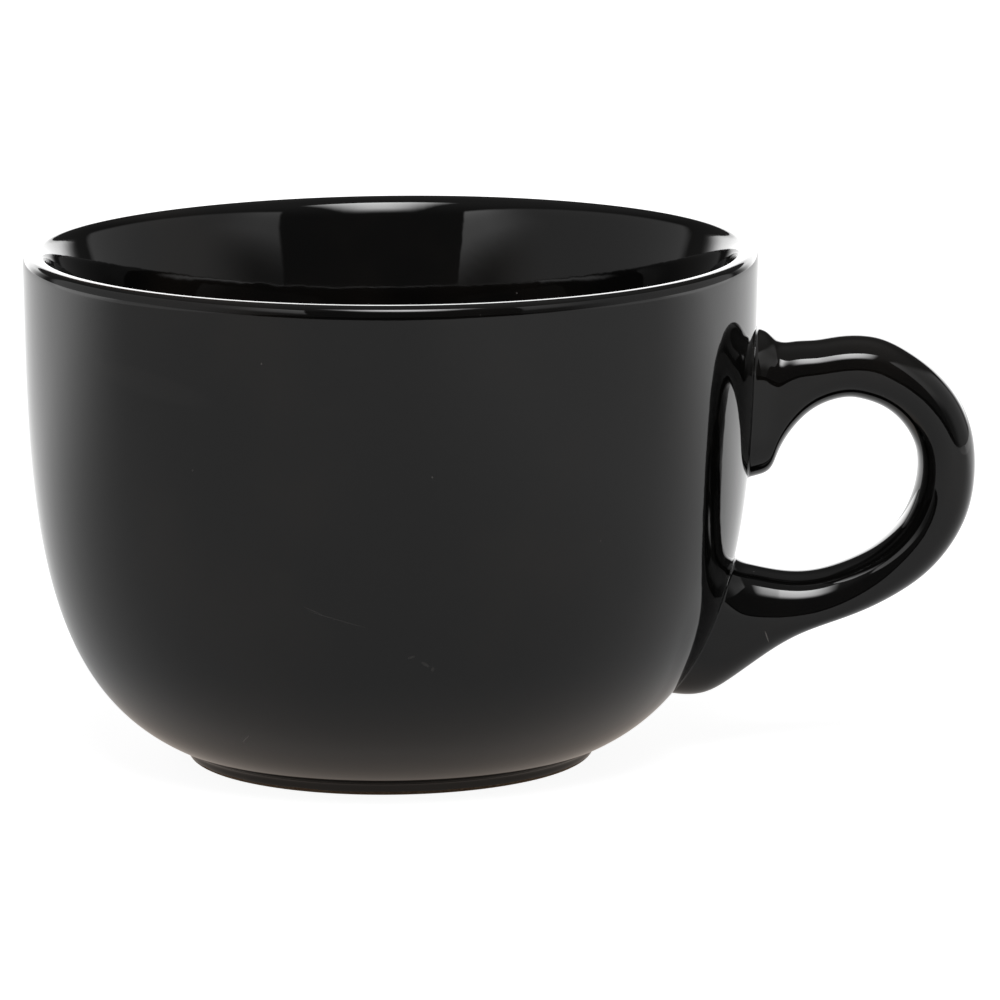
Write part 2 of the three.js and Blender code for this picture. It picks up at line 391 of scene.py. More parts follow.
@dataclass
class Shell:
    """A closed surface of quads and triangles, on its way to being a mesh."""

    points: Points
    quads: Points
    triangles: Points = field(default_factory=lambda: np.zeros((0, 3), dtype=int))

    def volume(self) -> float:
        """Signed volume: the sum of the tetrahedra from the origin to each triangle.

        Returns:
            The volume, negative where the faces point inwards.
        """
        halves = [self.quads[:, [0, 1, 2]], self.quads[:, [0, 2, 3]], self.triangles]
        first, second, third = np.swapaxes(self.points[np.concatenate(halves)], 0, 1)
        return float((first * np.cross(second, third)).sum() / 6)

    def faced_outwards(self) -> Shell:
        """The same shell, turned over if its faces point inwards."""
        turn = 1 if self.volume() >= 0 else -1
        return Shell(self.points, self.quads[:, ::turn], self.triangles[:, ::turn])

    def to_object(self, name: str, material: bpy.types.Material, sharp: float) -> bpy.types.Object:
        """Makes a smooth-shaded mesh object at the origin.

        Args:
            name: Name of the piece.
            material: Its finish.
            sharp: Angle in radians above which an edge is shaded sharp.

        Returns:
            The new object, linked to the scene.
        """
        shell = self.faced_outwards()
        mesh = bpy.data.meshes.new(name)
        faces = shell.quads.tolist() + shell.triangles.tolist()
        mesh.from_pydata(shell.points.tolist(), [], faces)
        mesh.validate()
        mesh.shade_smooth()
        mesh.set_sharp_from_angle(angle=sharp)
        mesh.materials.append(material)
        return new_object(name, mesh)


def capped_tube(rings: Points) -> Shell:
    """Closes a tube with a fan to the middle of the ring at each end.

    Args:
        rings: Points of the tube, as rings of equal length.

    Returns:
        The closed shell.
    """
    rows, columns, _ = rings.shape
    count = rows * columns
    points = np.concatenate([rings.reshape(-1, 3), rings[[0, -1]].mean(axis=1)])
    here = np.arange(columns)
    after = np.roll(here, -1)
    last = count - columns
    first_fan = np.stack([after, here, np.full(columns, count)], axis=1)
    last_fan = np.stack([last + here, last + after, np.full(columns, count + 1)], axis=1)
    return Shell(points, grid_faces(rows, columns, False), np.concatenate([first_fan, last_fan]))


def place(piece: bpy.types.Object, node: str) -> None:
    """Rides a piece on the mug's one body, in place of a node.

    Args:
        piece: The piece.
        node: Node that it stands for.
    """
    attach(piece, BODY)
    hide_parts(node)
    log.info("%s: %d faces, stands for %s", piece.name, len(piece.data.polygons), node)


@dataclass(frozen=True)
class Ripple:
    """A slow unevenness of the wall: a product of two sines, and a quicker sine."""

    depth: float = 0.035
    mean: float = 0.75
    swing: float = 0.5
    turns: int = 3
    phase: float = 0.7
    climb: float = 21.0
    swell: float = 13.0
    swell_swing: float = 1.3
    quick_share: float = 0.5
    quick_turns: int = 7
    quick_climb: float = 8.5
    foot_end: float = 8.0
    foot_fade: float = 20.0
    lip_end: float = 1.0
    lip_fade: float = 15.0

    def inset(self, turn: Points, height: Points, top: float) -> Points:
        """How far the wall is drawn in, fading out towards the foot and the lip.

        Args:
            turn: Angles about the axis.
            height: Heights above the table.
            top: Height of the lip.

        Returns:
            The inset at each place.
        """
        wave = np.sin(self.turns * turn + self.phase + height / self.climb)
        wave = wave * np.sin(height / self.swell + self.swell_swing * np.cos(2 * turn))
        wave += self.quick_share * np.sin(self.quick_turns * turn + height / self.quick_climb)
        fade = np.clip((height - self.foot_end) / self.foot_fade, 0, 1)
        fade = fade * np.clip((top - self.lip_end - height) / self.lip_fade, 0, 1)
        return self.depth * (self.mean + self.swing * wave) * fade


@dataclass
class MugBody:
    """The turned bowl, with its lip, foot ring and recess."""

    profile: BowlProfile
    placement: Placement
    segments: int = 256
    ripple: Ripple = Ripple()
    rim_dip: float = 0.21
    rim_tilt: Pair = (0.09, 0.025)
    rim_saddle: float = 0.12
    warp_from: float = 40.0
    sharp: float = math.radians(50)

    def surface(self) -> Shell:
        """Turns the profile about the axis: x and y are radius times cosine and sine of the turn.

        A ripple draws the wall in a little. The rim, never quite level after firing, dips by a tilt
        (cosine and sine of the turn) and a saddle (sine of twice the turn), fading out down the
        wall.

        Returns:
            The closed shell, with its two ends closed underneath and inside.
        """
        ring, top = self.profile.whole()[1:-1], self.profile.height
        turn = np.linspace(0, 2 * math.pi, self.segments, endpoint=False)[None, :]
        height = ring[:, 1:2] + 0 * turn
        radius = ring[:, :1] - self.ripple.inset(turn, height, top)
        warp = self.rim_saddle * np.sin(2 * turn) - self.rim_dip
        warp -= self.rim_tilt[0] * np.cos(turn) + self.rim_tilt[1] * np.sin(turn)
        share = np.clip((height - self.warp_from) / (top - self.warp_from), 0, 1)
        warped = height + warp * share
        grid = np.stack([radius * np.cos(turn), radius * np.sin(turn), warped], axis=-1)
        return capped_tube(self.placement.to_frame(grid))

    def build(self, material: bpy.types.Material) -> None:
        """Makes the body's piece and dresses it."""
        piece = self.surface().to_object("mug_body_glaze", material, self.sharp)
        place(piece, "mug_body")


@dataclass
class LoopHandle:
    """The loop handle: a rounded section lofted between an outer and an inner edge.

    The loop is a ring about its own centre, at radii given for a run of angles. The upper root is a
    gusset of upright sections, and the lower root a spur that turns to lie along the wall.
    """

    profile: BowlProfile
    placement: Placement
    centre: Pair = (75.22, 47.95)
    half_width: float = 7.0
    end_depth: Pair = (5.0, 5.0)
    end_limit: float = 0.97
    end_fullness: float = 2.3
    bury: float = 0.4
    rows: int = 320
    end_steps: int = 28
    flat_steps: int = 6
    upper_search: Pair = (0.0, 0.35)
    lower_search: Pair = (1.0, 0.6)
    search_steps: int = 1400
    sharp: float = math.radians(60)
    upper_root: tuple[tuple[float, ...], ...] = (
        (57.0, 71.9, 45.9, 8.2, 8.2, 7.4),
        (61.35, 71.45, 46.88, 7.5, 8.2, 7.4),
        (62.4, 71.1, 47.27, 7.2, 8.2, 6.9),
        (63.4, 70.4, 48.2, 7.06, 8.0, 6.3),
        (64.3, 69.65, 50.28, 7.0, 7.4, 5.4),
        (65.4, 69.2, 52.58, 7.0, 6.2, 5.0),
        (67.2, 69.33, 55.13, 7.0, 5.4, 5.0),
        (70.84, 69.54, 58.31, 7.0, 5.0, 5.0),
    )
    loop: tuple[Triple, ...] = (
        (90, 22.2, 11.85),
        (75, 22.63, 12.05),
        (60, 22.41, 12.25),
        (45, 22.43, 12.45),
        (30, 22.53, 12.6),
        (15, 22.43, 12.75),
        (0, 22.26, 12.7),
        (-11, 22.34, 12.71),
        (-22, 22.49, 12.82),
        (-33, 22.59, 13.07),
        (-44, 22.76, 13.42),
    )
    lower_root: tuple[tuple[float, ...], ...] = (
        (27.24, 29.92, 34.75, 23.25, 7.0, 4.2, 5.2),
        (24.43, 25.53, 32.71, 20.17, 7.1, 3.3, 6.0),
        (21.95, 19.77, 30.68, 14.68, 7.3, 2.6, 7.2),
        (19.97, 15.47, 30.37, 10.55, 7.5, 3.0, 7.8),
        (16.4, 11.43, 30.9, 6.38, 7.6, 5.0, 8.4),
        (12.53, 8.63, 31.45, 3.76, 7.7, 6.5, 9.0),
        (10.01, 6.32, 32.0, 1.9, 7.9, 8.0, 9.0),
        (10.2, -1.5, 34.0, -1.6, 8.8, 9.0, 9.0),
    )

    def __post_init__(self) -> None:
        """Sets up the stations, their parameter and the unit section."""
        self.stations = self.edge_stations()
        steps = np.diff(self.stations[:, :4], axis=0).reshape(-1, 2, 2)
        gaps = np.linalg.norm(steps, axis=2).mean(axis=1)
        self.knots = np.concatenate([[0], np.cumsum(gaps)]) / gaps.sum()
        self.side, self.crown, self.across = self.unit_section()

    def edge_stations(self) -> Points:
        """Outer and inner edge at each station, in the handle's plane, and the section's sizes.

        Returns:
            Rows of outer x, outer z, inner x, inner z, half width, and depth of the outer and the
            inner end.
        """
        high = np.array(self.upper_root)
        upper = np.concatenate([high[:, [0, 1, 0, 2]], high[:, 3:]], axis=1)
        loop = np.array(self.loop)
        turn = np.radians(loop[:, :1])
        aim = np.concatenate([np.cos(turn), np.sin(turn)], axis=1)
        section = np.tile([self.half_width, *self.end_depth], (len(loop), 1))
        outer, inner = self.centre + aim * loop[:, 1:2], self.centre + aim * loop[:, 2:3]
        ring = np.concatenate([outer, inner, section], axis=1)
        low = np.array(self.lower_root)
        outer_wall, _ = self.profile.wall_at(low[:, 0])
        inner_wall, _ = self.profile.wall_at(low[:, 2])
        edges = [outer_wall + low[:, 1], low[:, 0], inner_wall + low[:, 3], low[:, 2]]
        spur = np.concatenate([np.stack(edges, axis=1), low[:, 4:]], axis=1)
        return np.concatenate([upper, ring, spur])

    def unit_section(self) -> tuple[Points, Points, Points]:
        """A section with two rounded ends, each half a superellipse, and a flat on each side.

        Returns:
            For each point the end it belongs to, from 1 outside to -1 inside, its share of that
            end's depth, and its share of half the width.
        """
        turn = np.linspace(-math.pi / 2, math.pi / 2, self.end_steps + 1)
        flat = np.linspace(1, -1, self.flat_steps + 1)[1:-1]
        crown = filled_out(np.maximum(np.cos(turn), 0), self.end_fullness)
        across = filled_out(np.sin(turn), self.end_fullness)
        level, one = np.zeros(len(flat)), np.ones(len(flat))
        end = np.ones(len(turn))
        return (
            np.concatenate([end, flat, -end, -flat]),
            np.concatenate([crown, level, -crown, level]),
            np.concatenate([across, one, -across, -one]),
        )

    def at(self, along: Points) -> Points:
        """Surface of the handle: the section set between the two edges.

        Args:
            along: Shares of the handle's length, with one column for each point of the section.

        Returns:
            Points of the surface, in the mug's own millimetres.
        """
        edges = spline(self.knots, self.stations, along)
        outer, inner, half_width = edges[..., :2], edges[..., 2:4], edges[..., 4]
        aim = unit(outer - inner)
        whole = np.linalg.norm(outer - inner, axis=-1)
        limit = self.end_limit * whole / edges[..., 5:].sum(axis=-1)
        ends = edges[..., 5:] * np.minimum(1, limit)[..., None]
        outer_end, inner_end = ends[..., 0], ends[..., 1]
        straight = (whole - outer_end - inner_end) / 2
        round_off = np.where(self.crown > 0, outer_end, inner_end) * self.crown
        depth = (inner_end - outer_end) / 2 + self.side * straight + round_off
        middle = (outer + inner) / 2 + depth[..., None] * aim
        return np.stack([middle[..., 0], half_width * self.across, middle[..., 1]], axis=-1)

    def meets_wall(self, root: Root, distance: float) -> Points:
        """Share of the handle's length at which each line along it comes close to the wall.

        Args:
            root: Which end to look at.
            distance: Distance out from the wall, negative inside it.

        Returns:
            One share for each point of the section.
        """
        search = self.upper_search if root is Root.UPPER else self.lower_search
        run = np.linspace(*search, self.search_steps)
        grid = np.broadcast_to(run[:, None], (len(run), len(self.side)))
        gap = self.profile.wall_distance(self.at(grid))
        outside = gap > distance
        first = np.argmax(outside, axis=0)
        column = np.arange(len(self.side))
        near, far = gap[first - 1, column], gap[first, column]
        share = (distance - near) / (far - near)
        return run[first - 1] + share * (run[first] - run[first - 1])

    def surface(self) -> Shell:
        """Lofts the section from just under the wall at one root to just under it at the other.

        Returns:
            The closed shell, each end capped by a fan.
        """
        start = self.meets_wall(Root.UPPER, -self.bury)
        end = self.meets_wall(Root.LOWER, -self.bury)
        share = np.linspace(0, 1, self.rows)[:, None]
        grid = self.at(start + (end - start) * share)
        return capped_tube(self.placement.to_frame(grid))

    def build(self, material: bpy.types.Material) -> None:
        """Makes the handle's piece and dresses it."""
        piece = self.surface().to_object("loop_handle_glaze", material, self.sharp)
        place(piece, "handle")


@dataclass
class SlipBead:
    """The bead of luting slip round one root: a concave fillet between the wall and the handle."""

    handle: LoopHandle
    root: Root
    radius: float = 0.7
    bury: float = 0.3
    arc_steps: int = 10
    probe: float = 0.0008
    sharp: float = math.radians(40)

    def surface(self) -> Shell:
        """Carries the fillet round the seam.

        At each point of the seam the fillet is an arc that touches the wall and the handle: its
        ends lie radius / tan(half the angle) along each, and its centre radius / sin(half the
        angle) out between them. Under it, three buried points close the section.

        Returns:
            The closed shell.
        """
        handle, profile = self.handle, self.handle.profile
        here = handle.meets_wall(self.root, 0.0)
        step = self.probe if self.root is Root.UPPER else -self.probe
        seam = handle.at(here[None, :])[0]
        along = unit(handle.at((here + step)[None, :])[0] - seam)
        round_seam = unit(np.roll(seam, -1, axis=0) - np.roll(seam, 1, axis=0))
        out = unit(np.cross(round_seam, along))
        centre = seam.mean(axis=0)
        out = out * np.sign(np.einsum("ij,ij->i", out, seam - centre).mean())
        wall = profile.wall_normal(seam)
        lean = np.einsum("ij,ij->i", wall, out)[:, None]
        on_wall = unit(out - lean * wall)
        on_handle = unit(wall - lean * out)
        angle = np.arccos(np.clip(np.einsum("ij,ij->i", on_wall, on_handle), -1, 1))[:, None]
        reach = self.radius / np.tan(angle / 2)
        middle = seam + unit(on_wall + on_handle) * self.radius / np.sin(angle / 2)
        wall_end, handle_end = seam + reach * on_wall, seam + reach * on_handle
        sweep = math.pi - angle
        share = np.linspace(0, 1, self.arc_steps + 1)[:, None, None]
        from_wall = np.sin((1 - share) * sweep) * (wall_end - middle)
        from_handle = np.sin(share * sweep) * (handle_end - middle)
        fillet = middle + (from_wall + from_handle) / np.sin(sweep)
        under = [
            handle_end - self.bury * out,
            seam - self.bury * (wall + out),
            wall_end - self.bury * wall,
        ]
        rings = np.concatenate([fillet, np.stack(under)])
        quads = grid_faces(len(rings), len(seam), True)
        return Shell(handle.placement.to_frame(rings.reshape(-1, 3)), quads)

    def build(self, material: bpy.types.Material) -> None:
        """Makes the bead's piece and dresses it."""
        piece = self.surface().to_object(f"{self.root.value}_slip_bead", material, self.sharp)
        place(piece, f"{self.root.value}_slip_joint")


@dataclass
class NodeBoard:
    """Adds shader nodes to a material, world or light. Most methods return the new output."""

    owner: bpy.types.ID

    def __post_init__(self) -> None:
        """Gives the owner its nodes."""
        self.owner.use_nodes = True
        self.nodes = self.owner.node_tree.nodes

    def fill(self, node: bpy.types.Node, inputs: Inputs) -> None:
        """Links each input of a node to an output, or sets its own value.

        Args:
            node: The node.
            inputs: Outputs or values, by the input's number or name.
        """
        for key, value in inputs.items():
            if isinstance(value, bpy.types.NodeSocket):
                self.owner.node_tree.links.new(value, node.inputs[key])
            else:
                node.inputs[key].default_value = value

    def add(self, kind: str, inputs: Inputs | None = None, **settings: str) -> bpy.types.Node:
        """Adds a node.

        Args:
            kind: Its type.
            inputs: Outputs or values for its inputs.
            **settings: Its properties.

        Returns:
            The node.
        """
        node = self.nodes.new(kind)
        for name, value in settings.items():
            setattr(node, name, value)
        self.fill(node, inputs or {})
        return node

    def math(self, operation: str, first: object, second: object = 0.0) -> Socket:
        """Adds a math node."""
        return self.add("ShaderNodeMath", {0: first, 1: second}, operation=operation).outputs[0]

    def times(self, first: object, second: object) -> Socket:
        """Adds a product."""
        return self.math("MULTIPLY", first, second)

    def plus(self, first: object, second: object) -> Socket:
        """Adds a sum."""
        return self.math("ADD", first, second)

    def less(self, value: object) -> Socket:
        """Adds one less a value."""
        return self.math("SUBTRACT", 1.0, value)

    def spread(self, value: Socket, width: float, middle: float) -> Socket:
        """Adds a value from 0 to 1 spread over a width about a middle."""
        return self.plus(self.times(value, width), middle - width / 2)

    def coordinates(self, kind: str) -> tuple[Socket, ...]:
        """Adds the x, y and z of texture coordinates of a kind."""
        whole = self.add("ShaderNodeTexCoord").outputs[kind]
        return tuple(self.add("ShaderNodeSeparateXYZ", {0: whole}).outputs)

    def rays(self) -> tuple[Socket, Socket]:
        """Adds what tells rays apart.

        Returns:
            Whether a ray is the camera's own, and whether a gloss or glass has sent it on.
        """
        path = self.add("ShaderNodeLightPath").outputs
        sent_on = self.math("MAXIMUM", path["Is Glossy Ray"], path["Is Transmission Ray"])
        return path["Is Camera Ray"], sent_on

    def along(self, point: Socket, axis: Triple, origin: Triple = (0.0, 0.0, 0.0)) -> Socket:
        """Adds the distance of a point along an axis from an origin.

        Args:
            point: The point.
            axis: Unit vector along the axis.
            origin: Place of distance 0.

        Returns:
            The distance.
        """
        offset = self.add("ShaderNodeVectorMath", {0: point, 1: origin}, operation="SUBTRACT")
        inputs = {0: offset.outputs[0], 1: axis}
        return self.add("ShaderNodeVectorMath", inputs, operation="DOT_PRODUCT").outputs["Value"]

    def rise(self, value: Socket, low: object, high: object) -> Socket:
        """Adds a smooth step from 0 at low to 1 at high."""
        inputs = {"Value": value, "From Min": low, "From Max": high}
        return self.add("ShaderNodeMapRange", inputs, interpolation_type="SMOOTHSTEP").outputs[0]

    def fall(self, value: Socket, low: object, high: object) -> Socket:
        """Adds a smooth step from 1 at low to 0 at high."""
        return self.less(self.rise(value, low, high))

    def blend(self, share: object, first: object, second: object) -> Socket:
        """Adds a colour mix."""
        inputs = {0: share, 6: first, 7: second}
        return self.add("ShaderNodeMix", inputs, data_type="RGBA").outputs[2]

    def noise(self, where: Socket, scale: float, detail: float = 2.0, rough: float = 0.5) -> Socket:
        """Adds a grey noise."""
        inputs = {"Vector": where, "Scale": scale, "Detail": detail, "Roughness": rough}
        return self.add("ShaderNodeTexNoise", inputs).outputs[0]


def rgba(colour: Colour) -> tuple[float, float, float, float]:
    """A colour with full alpha."""
    return (*colour, 1.0)


def grey(tone: float) -> tuple[float, float, float, float]:
    """A grey with full alpha."""
    return (tone, tone, tone, 1.0)


@dataclass(frozen=True)
class Mark:
    """A mark on the front, or a painted reflection: its middle, half sizes, tilt in degrees and
    share of the pale colour.
    """

    x: float
    z: float
    half_length: float
    half_width: float
    tilt: float
    share: float


@dataclass(frozen=True)
class BlackGlaze:
    """Glossy black stoneware glaze, with a brown break at the lip and bare clay under the foot."""

    name: str
    black: Colour = (0.0030, 0.0029, 0.0028)
    thin: Colour = (0.0075, 0.0062, 0.0052)
    lip_brown: Colour = (0.030, 0.018, 0.012)
    clay: Colour = (0.42, 0.30, 0.19)
    clay_dark: Colour = (0.16, 0.085, 0.045)
    lint_and_reflection: Colour = (0.30, 0.28, 0.26)
    roughness: float = 0.035
    gloss_wander: float = 0.03
    lint_and_reflection_roughness: float = 0.4
    clay_roughness: float = 0.82
    refraction: float = 1.5
    flow_scale: float = 38.0
    flow_range: Pair = (0.42, 0.74)
    fine_scale: float = 900.0
    grain_scale: float = 2600.0
    grain_range: Pair = (0.35, 0.7)
    grain_relief: float = 3.0
    lip_range: Pair = (85.6, 85.85)
    lip_wander: float = 0.25
    clay_line: float = 0.7
    clay_scale: float = 160.0
    clay_wander: float = 0.5
    clay_soft: float = 0.06
    peel: float = 0.06
    peel_scale: float = 220.0
    peel_depth: float = 0.0002
    speck_scale: float = 260.0
    speck_choice: Pair = (0.93, 0.94)
    speck_size: Pair = (0.02, 0.05)
    speck_share: float = 0.3
    mark_edge: Pair = (0.3, 1.0)
    axis_x: float = 0.0
    marks_and_reflection: tuple[Mark, ...] = (
        Mark(62.4, 20.5, 1.3, 0.12, 108, 0.5),
        Mark(-8.9, 34.3, 5.5, 0.07, -16, 0.12),
        Mark(-12.5, 35.6, 2.2, 0.06, -24, 0.12),
        Mark(-24.0, 11.5, 1.3, 0.12, 55, 0.3),
        Mark(3.0, 27.8, 0.7, 0.25, 20, 0.1),
        Mark(5.2, 26.5, 0.9, 0.3, -35, 0.1),
        Mark(6.4, 25.6, 0.5, 0.3, 70, 0.1),
        Mark(8.2, 4.6, 0.7, 0.35, 15, 0.06),
        # painted reflection: a broad faint pale smear where the left panel's reflection falls on
        # the upper left of the wall, not a real mark
        Mark(-38.5, 71.0, 12.0, 2.4, -12, 0.012),
    )

    def build(self) -> bpy.types.Material:
        """Makes the glaze's material from noise on Object coordinates and masks by height.

        Returns:
            The material.
        """
        material = bpy.data.materials.new(self.name)
        board = NodeBoard(material)
        where = board.add("ShaderNodeTexCoord").outputs["Object"]
        height = board.times(board.along(where, (0.0, 0.0, 1.0)), 1 / MM)
        flow = board.noise(where, self.flow_scale, detail=3.0)
        fine = board.noise(where, self.fine_scale)
        grain = board.noise(where, self.grain_scale, detail=3.0, rough=0.65)
        thinned = board.rise(flow, *self.flow_range)
        ware = board.blend(thinned, rgba(self.black), rgba(self.thin))
        specks, blemishes_and_reflection = self.lint_specks(board, where), self.blemish_and_reflection_share(board, where)
        # pale colour of lint specks and real marks, together with the painted reflection of the
        # left panel
        lint_and_reflection = board.math("MAXIMUM", specks, blemishes_and_reflection)
        ware = board.blend(lint_and_reflection, ware, rgba(self.lint_and_reflection))
        wandering = board.plus(height, board.times(fine, self.lip_wander))
        lip = board.rise(wandering, *self.lip_range)
        ware = board.blend(lip, ware, rgba(self.lip_brown))
        ragged = board.noise(where, self.clay_scale, detail=3.0, rough=0.6)
        edge = board.spread(ragged, self.clay_wander, self.clay_line)
        above = board.math("SUBTRACT", height, edge)
        bare = board.fall(above, -self.clay_soft, self.clay_soft)
        mottle = board.rise(grain, *self.grain_range)
        clay = board.blend(mottle, rgba(self.clay_dark), rgba(self.clay))
        gloss = board.spread(fine, self.gloss_wander, self.roughness)
        gloss = board.math("MAXIMUM", gloss, board.times(lint_and_reflection, self.lint_and_reflection_roughness))
        gloss = board.math("MAXIMUM", gloss, board.times(bare, self.clay_roughness))
        rough_clay = board.times(board.times(bare, grain), self.grain_relief)
        relief = board.plus(board.noise(where, self.peel_scale), rough_clay)
        inputs = {"Strength": self.peel, "Distance": self.peel_depth, "Height": relief}
        finish = {
            "Base Color": board.blend(bare, ware, clay),
            "Roughness": gloss,
            "IOR": self.refraction,
            "Normal": board.add("ShaderNodeBump", inputs).outputs["Normal"],
        }
        board.fill(board.nodes["Principled BSDF"], finish)
        return material

    def lint_specks(self, board: NodeBoard, where: Socket) -> Socket:
        """Sparse pale specks: the middles of a few chosen cells of a Voronoi pattern.

        Args:
            board: Board of the glaze's nodes.
            where: Object coordinates.

        Returns:
            The share of the pale colour.
        """
        cells = board.add("ShaderNodeTexVoronoi", {"Vector": where, "Scale": self.speck_scale})
        split = board.add("ShaderNodeSeparateColor", {0: cells.outputs["Color"]})
        chosen = board.rise(split.outputs[0], *self.speck_choice)
        dot = board.fall(cells.outputs["Distance"], *self.speck_size)
        return board.times(chosen, board.times(dot, self.speck_share))

    def blemish_and_reflection_share(self, board: NodeBoard, where: Socket) -> Socket:
        """Scratches and marks on the front, and one broad faint painted reflection of the left
        panel: soft ellipses, of which the strongest is kept.

        Args:
            board: Board of the glaze's nodes.
            where: Object coordinates.

        Returns:
            The share of the pale colour.
        """
        front = board.math("LESS_THAN", board.along(where, (0.0, 1.0, 0.0)), 0.0)
        total: Socket | float = 0.0
        for mark in self.marks_and_reflection:
            centre = (self.axis_x * MM + mark.x * MM, 0.0, mark.z * MM)
            tilt = math.radians(mark.tilt)
            cosine, sine = math.cos(tilt), math.sin(tilt)
            lengthways = board.along(where, (cosine, 0.0, sine), centre)
            crossways = board.along(where, (-sine, 0.0, cosine), centre)
            along = board.math("DIVIDE", lengthways, mark.half_length * MM)
            aside = board.math("DIVIDE", crossways, mark.half_width * MM)
            reach = board.plus(board.times(along, along), board.times(aside, aside))
            share = board.fall(reach, *self.mark_edge)
            total = board.math("MAXIMUM", total, board.times(share, mark.share))
        return board.times(total, front)


@dataclass(frozen=True)
class StudioCamera:
    """The camera at the photograph's viewing angle, set from the mug's axis and the table."""

    back: float = 1282.0
    up: float = 285.7
    aside: float = -0.403
    yaw: float = math.radians(0.83)
    pitch: float = math.radians(10.73)
    roll: float = math.radians(-0.39)
    lens: float = 281.4
    sensor: float = 36.0
    clip: Pair = (0.01, 50.0)

    def build(self, placement: Placement) -> None:
        """Makes the scene's camera, rolled, then tipped, then turned.

        Args:
            placement: Where the mug stands in the frame.
        """
        data = bpy.data.cameras.new("studio_camera")
        data.sensor_width = self.sensor
        data.lens = self.lens
        data.clip_start, data.clip_end = self.clip
        turn = (
            Matrix.Rotation(-self.yaw, 4, "Z")
            @ Matrix.Rotation(math.pi / 2 - self.pitch, 4, "X")
            @ Matrix.Rotation(self.roll, 4, "Z")
        )
        stand = Vector((placement.axis_x + self.aside, -self.back, self.up)) * MM
        camera = new_object("studio_camera", data)
        camera.matrix_world = Matrix.Translation(stand) @ turn
        bpy.context.scene.camera = camera


@dataclass(frozen=True)
class Spot:
    """A place on a light's face: its point in the scene, and its share across and up, -1 to 1."""

    point: Socket
    across: Socket
    up: Socket


@dataclass(frozen=True)
class Softbox:
    """A rectangular soft light, in metres, aimed at a point and rolled about its aim.

    Its glow changes over its face.
    """

    name: str
    stand: Triple
    size: Pair
    glow: float
    aim: Triple = (0.0, 0.0, 0.045)
    roll: float = 0.0

    def build(self) -> None:
        """Makes the light: its power is its glow times pi times its area."""
        data = bpy.data.lights.new(self.name, "AREA")
        data.shape = "RECTANGLE"
        data.size, data.size_y = self.size
        data.energy = self.glow * math.pi * self.size[0] * self.size[1]
        lamp = new_object(self.name, data)
        stand = Vector(self.stand)
        facing = (Vector(self.aim) - stand).to_track_quat("-Z", "Y").to_matrix().to_4x4()
        lamp.matrix_world = Matrix.Translation(stand) @ facing @ Matrix.Rotation(self.roll, 4, "Z")
        lamp.visible_camera = False

        board = NodeBoard(data)
        point = board.add("ShaderNodeNewGeometry").outputs["Position"]
        turn = lamp.matrix_world.to_3x3()
        across, up = (
            board.math("DIVIDE", board.along(point, tuple(axis), self.stand), size / 2)
            for axis, size in zip(turn.col, self.size)
        )
        strength = self.strength(board, Spot(point, across, up))
        board.fill(board.nodes["Emission"], {"Strength": strength})

    def strength(self, board: NodeBoard, spot: Spot) -> Socket:
        """Share of the full glow at a place on the face."""
        raise NotImplementedError


@dataclass(frozen=True)
class SidePanel(Softbox):
    """A tall side panel of the light tent, even at the back and brighter towards its front top."""

    even: float = 0.38
    low: float = 0.07
    top: float = 0.52
    step: Pair = (0.2, 0.46)
    crest: float = 0.25
    crest_height: float = 0.8
    crest_power: float = 4.0
    front_from: float = -0.14
    front_to: float = -0.57
    front_end: float = -0.779
    front_slant: float = 0.18
    front_soft: float = 0.02
    slant_height: float = 0.35
    soft_end: float = 0.1
    soft_top: float = 0.25

    def strength(self, board: NodeBoard, spot: Spot) -> Socket:
        """A smooth step and a power of the height in front, an even glow behind, and soft edges.

        The front end is a slanted line across the panel's face.

        Args:
            board: Board of the light's nodes.
            spot: The place on the face.

        Returns:
            The share of the full glow.
        """
        height = board.along(spot.point, (0.0, 0.0, 1.0))
        climb = board.math("DIVIDE", board.math("MAXIMUM", height, 0.0), self.crest_height)
        climb = board.math("POWER", climb, self.crest_power)
        bright = board.times(board.rise(height, *self.step), self.top)
        bright = board.plus(board.plus(bright, board.times(climb, self.crest)), self.low)
        back = board.along(spot.point, (0.0, 1.0, 0.0))
        inputs = {0: board.rise(back, self.front_to, self.front_from), 2: bright, 3: self.even}
        glow = board.add("ShaderNodeMix", inputs, data_type="FLOAT")
        slant = (0.0, 1.0, -self.front_slant)
        line = board.along(spot.point, slant, (0.0, 0.0, self.slant_height))
        end, soft = self.front_end, self.front_soft
        inside = board.rise(line, end - soft, end + soft)
        ends = board.fall(board.math("ABSOLUTE", spot.across), 1 - self.soft_end, 1.0)
        top = board.fall(spot.up, 1 - self.soft_top, 1.0)
        return board.times(glow.outputs[0], board.times(board.times(ends, top), inside))


@dataclass(frozen=True)
class BackPanel(Softbox):
    """The white back of the light tent, fading out towards its sides."""

    soft_end: float = 0.45

    def strength(self, board: NodeBoard, spot: Spot) -> Socket:
        """Full in the middle, with a smooth step down at each side."""
        return board.fall(board.math("ABSOLUTE", spot.across), 1 - self.soft_end, 1.0)


@dataclass(frozen=True)
class TopLight(Softbox):
    """The softbox over the camera, hottest in its middle and towards its upper edge."""

    fall: float = 1.5
    narrowing: float = 0.45
    dimming: float = 0.5
    fade_from: float = 0.6

    def strength(self, board: NodeBoard, spot: Spot) -> Socket:
        """(1 - u^2)^fall, with u the place across the narrowing width, faded towards the foot.

        Args:
            board: Board of the light's nodes.
            spot: The place on the face.

        Returns:
            The share of the full glow.
        """
        down = board.times(board.less(spot.up), 0.5)
        width = board.less(board.times(down, self.narrowing))
        aside = board.math("DIVIDE", spot.across, width)
        bell = board.math("MAXIMUM", board.less(board.times(aside, aside)), 0.0)
        dim = board.less(board.times(down, self.dimming))
        fade = board.fall(down, self.fade_from, 1.0)
        return board.times(board.math("POWER", bell, self.fall), board.times(dim, fade))


